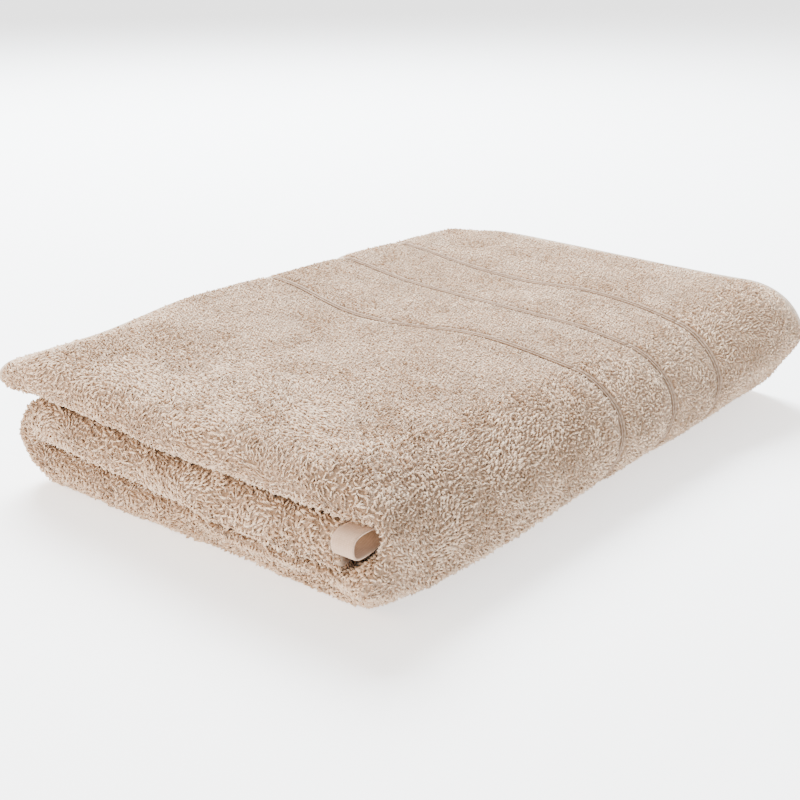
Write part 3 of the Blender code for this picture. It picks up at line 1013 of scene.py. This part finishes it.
class Wires:
    """A small helper to wire up nodes in a geometry node group."""

    def __init__(self, name):
        self.tree = bpy.data.node_groups.new(name, "GeometryNodeTree")
        interface = self.tree.interface
        interface.new_socket("Geometry", in_out="INPUT", socket_type="NodeSocketGeometry")
        interface.new_socket("Geometry", in_out="OUTPUT", socket_type="NodeSocketGeometry")
        self.start = self.tree.nodes.new("NodeGroupInput")
        self.end = self.tree.nodes.new("NodeGroupOutput")

    def node(self, kind, settings=None, **inputs):
        """A node. settings are its properties; inputs are values or sockets by identifier."""
        node = self.tree.nodes.new(kind)
        for name, value in (settings or {}).items():
            setattr(node, name, value)
        for name, value in inputs.items():
            socket = next(s for s in node.inputs if s.identifier.replace(" ", "_") == name)
            if isinstance(value, bpy.types.NodeSocket):
                self.tree.links.new(value, socket)
            else:
                socket.default_value = value
        return node


def read(wires, name):
    node = wires.node("GeometryNodeInputNamedAttribute", {"data_type": "FLOAT"}, Name=name)
    return node.outputs["Attribute"]


def random(wires, low_value, high_value, seed):
    kind = {"data_type": "FLOAT"}
    node = wires.node("FunctionNodeRandomValue", kind, Min_001=low_value, Max_001=high_value, Seed=seed)
    return node.outputs[1]


def combine(wires, kind, operation, a, b):
    """Two values or vectors combined by one operation."""
    node = wires.tree.nodes.new(kind)
    node.operation = operation
    for socket, value in zip(node.inputs[:2], (a, b), strict=True):
        if isinstance(value, bpy.types.NodeSocket):
            wires.tree.links.new(value, socket)
        else:
            socket.default_value = value
    return node.outputs[0]


def store(wires, kind, geometry, name, value):
    """Writes a value on every planted arch."""
    where = {"data_type": kind, "domain": "INSTANCE"}
    node = wires.node("GeometryNodeStoreNamedAttribute", where, Geometry=geometry, Name=name, Value=value)
    return node.outputs[0]


def heading(w, where, seed):
    """Which way an arch faces: a slow noise, with a little scatter."""
    brush = w.node("ShaderNodeTexNoise", Vector=where, Scale=38.0, Detail=2.0, Roughness=0.55)
    centred = combine(w, "ShaderNodeVectorMath", "SUBTRACT", brush.outputs["Color"], (0.5, 0.5, 0.5))
    low_corner, high_corner = (-HEADING_SCATTER,) * 3, (HEADING_SCATTER,) * 3
    kind = {"data_type": "FLOAT_VECTOR"}
    scatter = w.node("FunctionNodeRandomValue", kind, Min=low_corner, Max=high_corner, Seed=seed)
    return combine(w, "ShaderNodeVectorMath", "ADD", centred, scatter.outputs[0])


def tilt(w, where, seed):
    """How far an arch leans over in its own plane, and how far it tips sideways."""
    swell_noise = w.node("ShaderNodeTexNoise", Vector=where, Scale=55.0, Detail=1.0)
    swell = combine(w, "ShaderNodeMath", "MULTIPLY", swell_noise.outputs["Fac"], LEAN_SWELL)
    lean = combine(w, "ShaderNodeMath", "ADD", swell, random(w, *LEAN_RANGE, seed))
    lean = combine(w, "ShaderNodeMath", "MULTIPLY", lean, read(w, "pile_lean"))
    angles = w.node("ShaderNodeCombineXYZ", X=random(w, -SIDE_TILT, SIDE_TILT, seed + 1), Y=lean, Z=0.0)
    return w.node("FunctionNodeEulerToRotation", Euler=angles.outputs[0]).outputs[0]


def planting_group(name, spacing, seed):
    """The node group that turns a patch of surface into pile."""
    w = Wires(name)
    spread = w.node(
        "GeometryNodeDistributePointsOnFaces",
        {"distribute_method": "POISSON"},
        Distance_Min=spacing,
        Density_Max=CROWDING / spacing**2,
        Density_Factor=read(w, "pile_density"),
        Seed=seed,
    )
    w.tree.links.new(w.start.outputs[0], spread.inputs["Mesh"])
    where = w.node("GeometryNodeInputPosition").outputs[0]
    faced = w.node(
        "FunctionNodeAlignRotationToVector",
        {"axis": "X", "pivot_axis": "Z"},
        Rotation=spread.outputs["Rotation"],
        Factor=1.0,
        Vector=heading(w, where, seed + 1),
    )
    tilted = w.node(
        "FunctionNodeRotateRotation",
        {"rotation_space": "LOCAL"},
        Rotation=faced.outputs[0],
        Rotate_By=tilt(w, where, seed + 2),
    )
    arches = w.node(
        "GeometryNodeCollectionInfo", Collection=arch_collection, Separate_Children=True, Reset_Children=True
    )
    size = combine(w, "ShaderNodeMath", "MULTIPLY", random(w, *SIZE_RANGE, seed + 4), read(w, "pile_size"))
    planted = w.node(
        "GeometryNodeInstanceOnPoints",
        Points=spread.outputs["Points"],
        Instance=arches.outputs[0],
        Pick_Instance=True,
        Rotation=tilted.outputs[0],
        Scale=size,
    )
    shaded = store(w, "FLOAT", planted.outputs[0], "shade", random(w, *SHADE_RANGE, seed + 5))
    number = w.node("GeometryNodeInputIndex").outputs[0]
    numbered = store(w, "INT", shaded, "loop_number", number)
    real = w.node("GeometryNodeRealizeInstances", Geometry=numbered)
    w.tree.links.new(real.outputs[0], w.end.inputs[0])
    return w.tree


print(f"each arch leans by 0 to {math.degrees(LEAN_SWELL + LEAN_RANGE[1]):.0f} degrees")

# %% [markdown]
# A patch is a flat grid again, folded just under the face of the cloth. Its corners carry how dense, how
# big and how leaning the pile is there. After planting, each loop gets a small square of its own in the
# `OFBake` map, and loops that would dip below the floor are pressed flat on it.

# %% Plant a patch
CELL_MARGIN = 0.08
FLOOR_CLEARANCE = 0.15 * MM
BARE_HALF_BAND = 2.1 * MM


def spread_bake_map(mesh):
    """Gives each planted loop a small square of its own in the OFBake map."""
    corners = np.empty(len(mesh.loops), np.int32)
    mesh.loops.foreach_get("vertex_index", corners)
    number = np.empty(len(mesh.vertices), np.int32)
    mesh.attributes["loop_number"].data.foreach_get("value", number)
    own = np.empty(len(mesh.loops) * 2, np.float32)
    mesh.uv_layers["yarn"].uv.foreach_get("vector", own)
    own = own.reshape(-1, 2)
    cells = math.ceil(math.sqrt(number.max() + 1))
    cell = number[corners]
    corner = np.stack([cell % cells, cell // cells], axis=1)
    spread = (corner + CELL_MARGIN + own * (1 - 2 * CELL_MARGIN)) / cells
    layer = mesh.uv_layers.new(name="OFBake")
    layer.uv.foreach_set("vector", spread.astype(np.float32).ravel())
    return int(number.max()) + 1


def keep_off_floor(mesh):
    """Loops under the towel are pressed flat on what it lies on."""
    co = np.empty(len(mesh.vertices) * 3, np.float32)
    mesh.vertices.foreach_get("co", co)
    co[2::3] = np.maximum(co[2::3], FLOOR_CLEARANCE)
    mesh.vertices.foreach_set("co", co)


def plant(name, across, along, spacing, seed, size, lean, bare=()):
    """Pile on the outer face of the cloth between those columns and rows. size and lean are shares, or
    functions of a place (s, t). bare lists the distances t of the corded lines."""
    bm = flat_grid(across, along)
    density = bm.verts.layers.float.new("pile_density")
    sizes = bm.verts.layers.float.new("pile_size")
    leans = bm.verts.layers.float.new("pile_lean")
    for vert in bm.verts:
        s, t, _ = vert.co
        near = min([abs(t - line) for line in bare], default=1.0)
        vert[density] = 0.0 if near < BARE_HALF_BAND else 1.0
        vert[sizes] = size(s, t) if callable(size) else size
        vert[leans] = lean(s, t) if callable(lean) else lean
        vert.co = place(s, t, PLY / 2 - PILE_DEPTH)
    bmesh.ops.recalc_face_normals(bm, faces=bm.faces)
    s, t = (across[0] + across[-1]) / 2, (along[0] + along[-1]) / 2
    on_face = place(s, t, PLY / 2)
    outward = on_face - place(s, t, 0)
    facing = min(bm.faces, key=lambda f: (f.calc_center_median() - on_face).length)
    bm.normal_update()
    if facing.normal.dot(outward) < 0:
        bmesh.ops.reverse_faces(bm, faces=bm.faces)
    patch = finish_mesh(name + "_patch", bm, TERRY_YARN)
    modifier = patch.modifiers.new("plant", "NODES")
    modifier.node_group = planting_group(name, spacing, seed)
    ready = patch.evaluated_get(bpy.context.evaluated_depsgraph_get())
    mesh = bpy.data.meshes.new_from_object(ready)
    mesh.name = name
    loops = spread_bake_map(mesh)
    keep_off_floor(mesh)
    mesh.materials.clear()
    mesh.materials.append(TERRY_YARN)
    mesh.shade_smooth()
    pile = bpy.data.objects.new(name, mesh)
    bpy.context.scene.collection.objects.link(pile)
    bpy.data.objects.remove(patch)
    triangles = sum(len(p.vertices) - 2 for p in mesh.polygons)
    print(f"{name}: {loops} loops, {triangles} triangles")
    return pile


print(f"bare bands beside the cords are {2 * BARE_HALF_BAND / MM:.1f} mm wide")

# %% [markdown]
# ## Pile where it shows
#
# The pile is planted in patches, each small enough to handle, and each rides on the same body as the
# cloth beneath it. On top it has been pressed flat, so it is finer and leans over; at the front, where the
# folds open it up, it stands in plump curls.

# %% Sizes and leans over the towel
END_EDGE = 5 * MM
TOP_SPLITS = [END_EDGE, 0.098, 0.180, 0.262, RUN_T + 3 * MM]
BEHIND_LINE, BEFORE_LINE = (0.2, 4 * MM), (0.28, 6 * MM)
PLUMP_FROM, PLUMP_OVER = 0.12, 0.14
PRESSED_FROM, PRESSED_OVER = 0.21, 0.13
OUTER_LINES = LINE_T["outer"]


def beside_lines(t):
    """The pile stands up behind a corded line and is pressed flat before it."""
    total = 1.0
    for line in OUTER_LINES:
        behind = line - t
        amount, reach = BEHIND_LINE if behind > 0 else BEFORE_LINE
        total += math.copysign(amount, behind) * math.exp(-((behind / reach) ** 2))
    return total


def top_size(s, t):
    """Smaller loops towards the back, where the pile is pressed."""
    return (0.78 + 0.3 * ease((t - PRESSED_FROM) / PRESSED_OVER)) * beside_lines(t)


def fold_size(s, t):
    """Plumper loops on the near end of the fold, where it is stretched open."""
    return (1.0 + 0.15 * ease((t - PLUMP_FROM) / PLUMP_OVER)) * beside_lines(t)


def fold_lean(s, t):
    return 0.9 - 0.35 * ease((t - PLUMP_FROM) / PLUMP_OVER)


print(f"loops on top are {top_size(0, 0.1):.2f} of full size at the back, {top_size(0, 0.35):.2f} in front")

# %% Columns and rows of the patches
WINDOW = 4 * MM
WIDE_WINDOW = 8 * MM
SIDE_EDGE = 4 * MM
BAND_MARGIN = 0.3 * MM
BAND_EDGE = 0.05 * MM
LIP_END = FRONT_TURN_T + 8 * MM
BACK_FIRST, BACK_LAST = BACK_TURN_T - 9 * MM, INNER_RUN_T + 9 * MM
PAST_LEFT = 2 * MM
STACK_EDGE = WIDTH_S - 0.3 * MM
MIDDLE_EDGE = WIDTH_S - 1.5 * MM


def band_rows(first, last):
    """Rows of a patch, close together at the corded lines, so that the bare bands have sharp edges."""
    outer, inner = BARE_HALF_BAND + BAND_MARGIN, BARE_HALF_BAND - BAND_EDGE
    edges = {line + offset for line in OUTER_LINES for offset in (-outer, -inner, inner, outer)}
    marks = sorted({first, last} | {edge for edge in edges if first < edge < last})
    return stations(marks[0], *[(mark, WINDOW) for mark in marks[1:]])


flap_across = stations(SIDE_EDGE, (FLAP_S, WINDOW))
bend_across = stations(FLAP_S, (RIGHT_FOLD_S, 2.5 * MM))
stack_across = stations(RIGHT_FOLD_S, (BOTTOM_S, WINDOW), (LEFT_FOLD_S, 1.8 * MM), (STACK_EDGE, WINDOW))
left_across = stations(BOTTOM_S - PAST_LEFT, (LEFT_FOLD_S + PAST_LEFT, 1.8 * MM))
middle_across = stations(LEFT_FOLD_S + PAST_LEFT, (MIDDLE_EDGE, WIDE_WINDOW))
bottom_across = stations(RIGHT_FOLD_S, (BOTTOM_S - PAST_LEFT, WIDE_WINDOW))

lip_rows = stations(TOP_SPLITS[-1], (FRONT_TURN_T, 1.8 * MM), (LIP_END, 2.5 * MM))
left_rows = band_rows(TOP_SPLITS[0], TOP_SPLITS[4])
back_rows = stations(BACK_FIRST, (BACK_TURN_T, 3 * MM), (INNER_RUN_T, 1.5 * MM), (BACK_LAST, 3 * MM))
inside_rows = stations(LIP_END, (BACK_FIRST, WIDE_WINDOW))
upper_rows = stations(END_EDGE, (TOP_SPLITS[-1], WIDE_WINDOW))
print(f"a patch of the lip has {len(flap_across)} columns and {len(lip_rows)} rows")

# %% Plant what shows
TOP_GAP, SIDE_GAP, LIP_GAP = 1.2 * MM, 1.3 * MM, 1.3 * MM


def plant_all(patches):
    """Plants a table of patches: how they ride, and then what `plant` needs."""
    for ride_on, *patch in patches:
        ride_on(plant(*patch), "terry")


for i, (first, last) in enumerate(zip(TOP_SPLITS[:-1], TOP_SPLITS[1:])):
    name, rows = f"pile_top_{i + 1}", band_rows(first, last)
    on_flap(plant(name, flap_across, rows, TOP_GAP, 10 + i, top_size, 1.0, OUTER_LINES), "terry")
on_flap(plant("pile_flap_lip", flap_across, lip_rows, LIP_GAP, 21, 1.18, 1.1), "terry")
for i, (first, last) in enumerate([(TOP_SPLITS[0], TOP_SPLITS[2]), (TOP_SPLITS[2], TOP_SPLITS[4])]):
    name, rows = f"pile_right_fold_{i + 1}", band_rows(first, last)
    on_bend(plant(name, bend_across, rows, SIDE_GAP, 31 + i, fold_size, fold_lean, OUTER_LINES), "terry")
plant_all((
    (on_bend, "pile_right_fold_lip", bend_across, lip_rows, LIP_GAP, 41, 1.22, 1.0),
    (on_stack, "pile_stack_lip", stack_across, lip_rows, LIP_GAP * 1.05, 51, 1.34, 1.15),
    (on_stack, "pile_left_fold", left_across, left_rows, SIDE_GAP * 1.15, 61, 1.05, 0.9, OUTER_LINES),
))  # fmt: skip

# %% [markdown]
# ## Pile at the back and inside
#
# The doubled cloth shows at the back as two soft lips. Inside, under the flap, and on the underside, the
# pile has been crushed flat: fewer loops, each broader and lying over.

# %% Plant the back and the inside
BACK_GAP, TUCKED_GAP, INSIDE_GAP, UNDERSIDE_GAP = 1.75 * MM, 1.7 * MM, 2.7 * MM, 3.4 * MM
plant_all((
    (on_flap, "pile_flap_back", flap_across, back_rows, BACK_GAP, 71, 1.15, 0.9),
    (on_bend, "pile_right_fold_back", bend_across, back_rows, BACK_GAP, 72, 1.15, 0.9),
    (on_stack, "pile_stack_back", stack_across, back_rows, BACK_GAP, 73, 1.15, 0.9),
    (on_flap, "pile_flap_underside", flap_across, inside_rows, INSIDE_GAP, 74, 1.7, 1.1),
    (on_bend, "pile_right_fold_inside", bend_across, inside_rows, TUCKED_GAP, 75, 0.8, 0.8),
    (on_stack, "pile_middle_top", middle_across, upper_rows, INSIDE_GAP, 76, 1.7, 1.1, OUTER_LINES),
    (on_stack, "pile_bottom", bottom_across, upper_rows, UNDERSIDE_GAP, 77, 1.9, 1.2, OUTER_LINES),
))  # fmt: skip

# %% [markdown]
# ## Floor and light
#
# A plain pale floor and large soft lights, one high on the left behind the towel, so that the top is the
# brightest and the right end and the lips fall into soft shade.

# %% Set the stage
FLOOR_SIZE = 40.0
FLOOR_DROP = 0.2 * MM
FLOOR_GLOW = 1.5
PAPER_DARK, PAPER_LIGHT = (0.93,) * 3, (0.95,) * 3
WORLD_STRENGTH = 1.3
LIGHTS = (
    ("key_softbox", (-1.1, 0.7, 1.6), 1.2, 225, (0.87, 0.945, 1.0)),
    ("front_fill", (-0.6, -1.8, 0.9), 1.4, 42, (1.0, 0.73, 0.47)),
)


def make_floor():
    bm = bmesh.new()
    bmesh.ops.create_grid(bm, x_segments=1, y_segments=1, size=FLOOR_SIZE)
    bmesh.ops.translate(bm, verts=bm.verts, vec=(0, 0, -FLOOR_DROP))
    material, tree, shader = new_material("floor_paper", 0.9, 0.0, (1, 1, 1))
    grain = on_object(tree, "ShaderNodeTexNoise", Scale=30.0, Detail=2.0)
    colour = ramp(tree, grain.outputs["Fac"], (0.0, PAPER_DARK), (1.0, PAPER_LIGHT))
    tree.links.new(colour, shader.inputs["Base Color"])
    tree.links.new(colour, shader.inputs["Emission Color"])
    shader.inputs["Emission Strength"].default_value = FLOOR_GLOW
    floor = finish_mesh("floor", bm, material)
    floor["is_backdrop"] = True
    return floor


def area_light(name, place_at, size, power, colour):
    data = bpy.data.lights.new(name, "AREA")
    data.shape = "SQUARE"
    data.size = size
    data.energy = power
    data.color = colour
    light = bpy.data.objects.new(name, data)
    light.location = place_at
    light.rotation_euler = (-Vector(place_at)).to_track_quat("-Z", "Y").to_euler()
    bpy.context.scene.collection.objects.link(light)


make_floor()
for light in LIGHTS:
    area_light(*light)
world = bpy.data.worlds.new("studio")
world.use_nodes = True
sky = world.node_tree.nodes["Background"]
sky.inputs["Color"].default_value = (1, 1, 1, 1)
sky.inputs["Strength"].default_value = WORLD_STRENGTH
bpy.context.scene.world = world
print(f"{len(LIGHTS)} soft lights and a white surround")


# %% Measure and finish
looks_low, looks_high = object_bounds()
for name, span in (("frame", FRAME_HIGH - FRAME_LOW), ("dressed towel", looks_high - looks_low)):
    print(f"{name}: {[round(side, 4) for side in span]} m")
